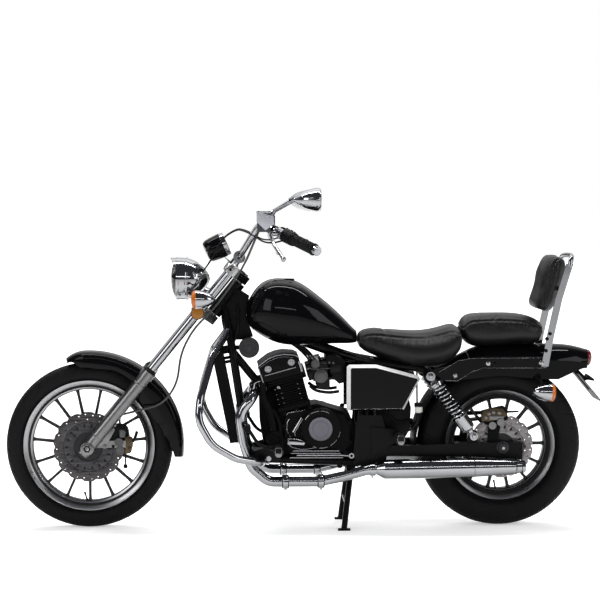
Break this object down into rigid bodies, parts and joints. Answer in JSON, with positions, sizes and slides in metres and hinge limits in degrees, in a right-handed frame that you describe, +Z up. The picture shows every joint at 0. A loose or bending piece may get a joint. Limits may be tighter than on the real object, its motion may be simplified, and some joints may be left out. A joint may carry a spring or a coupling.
{
  "type": "cruiser motorcycle",
  "caption": "Black and chrome twin-cylinder cruiser motorcycle standing on its centre stand, with cast wheels, teardrop tank, stepped seats and a padded passenger backrest.",
  "frame": {"origin": "on the ground, at the middle of the length and width of the motorcycle's box", "axes": "+X forward along the machine, +Y to the side whose muffler the picture shows, +Z up"},
  "size_m": [2.2221, 0.8452, 1.2632],
  "materials": {
    "gloss_black": "gloss",
    "frame_black": "satin",
    "engine_black": "satin",
    "chrome": "polished",
    "bare_aluminium": "satin",
    "brake_steel": "brushed",
    "tyre_rubber": "matt",
    "black_rubber": "matt",
    "rim_black": "satin",
    "seat_vinyl": "soft sheen",
    "black_plastic": "satin",
    "clear_lens": "clear",
    "red_lens": "gloss",
    "reservoir_white": "satin"
  },
  "bodies": {
    "frame": {"frame": "frame_black", "crankcase": "engine_black", "cylinders": "engine_black", "carburettors": "bare_aluminium", "airbox": "black_plastic", "radiator": "engine_black", "exhaust_pipes": "chrome", "mufflers": "chrome", "fuel_tank": "gloss_black", "rider_seat": "seat_vinyl", "pillion_seat": "seat_vinyl", "rear_fender": "gloss_black", "fender_rails": "gloss_black", "tail_light": "red_lens", "number_plate": "black_plastic", "rear_signals": "chrome", "side_covers": "gloss_black", "swingarm": "frame_black", "rear_axle": "chrome", "shock_absorbers": "chrome", "rear_caliper": "bare_aluminium", "backrest_bar": "chrome", "backrest_pad": "seat_vinyl", "crash_bars": "chrome", "footrests": "frame_black", "horn": "chrome", "drive_chain": "brake_steel", "chain_guard": "black_plastic", "brake_reservoir": "reservoir_white", "coolant_hose": "black_rubber", "rear_brake_hose": "black_rubber"},
    "steering": {"steering_yokes": "bare_aluminium", "fork_tubes": "chrome", "fork_sliders": "bare_aluminium", "front_axle": "chrome", "front_fender": "gloss_black", "headlight_shell": "chrome", "headlight_lens": "clear_lens", "front_signals": "chrome", "speedometer": "chrome", "handlebar": "chrome", "grips": "black_rubber", "hand_controls": "black_plastic", "mirrors": "chrome", "front_caliper": "bare_aluminium", "front_brake_hose": "black_rubber", "switch_leads": "black_rubber"},
    "front_wheel": {"front_tyre": "tyre_rubber", "front_rim": "rim_black", "front_disc": "brake_steel"},
    "rear_wheel": {"rear_tyre": "tyre_rubber", "rear_rim": "rim_black", "rear_disc": "brake_steel", "rear_sprocket": "brake_steel"},
    "centre_stand": {"centre_stand": "frame_black"},
    "side_stand": {"side_stand": "frame_black"}
  },
  "joints": [
    {"name": "steering_turn", "type": "hinge", "parent": "frame", "child": "steering", "pos_m": [0.28925, 0, 0.85882], "axis": [-0.632, 0, 0.7749], "range_deg": [-38, 38]},
    {"name": "front_wheel_spin", "type": "hinge", "parent": "steering", "child": "front_wheel", "pos_m": [0.8017, 0, 0.3096], "axis": [0, 1, 0], "continuous": true},
    {"name": "rear_wheel_spin", "type": "hinge", "parent": "frame", "child": "rear_wheel", "pos_m": [-0.7333, 0, 0.3075], "axis": [0, 1, 0], "continuous": true},
    {"name": "centre_stand_fold", "type": "hinge", "parent": "frame", "child": "centre_stand", "pos_m": [-0.1713, 0, 0.2155], "axis": [0, 1, 0], "range_deg": [0, 82]},
    {"name": "side_stand_swing", "type": "hinge", "parent": "frame", "child": "side_stand", "pos_m": [0.15725, -0.124, 0.23682], "axis": [0, -1, 0], "range_deg": [0, 100]}
  ]
}
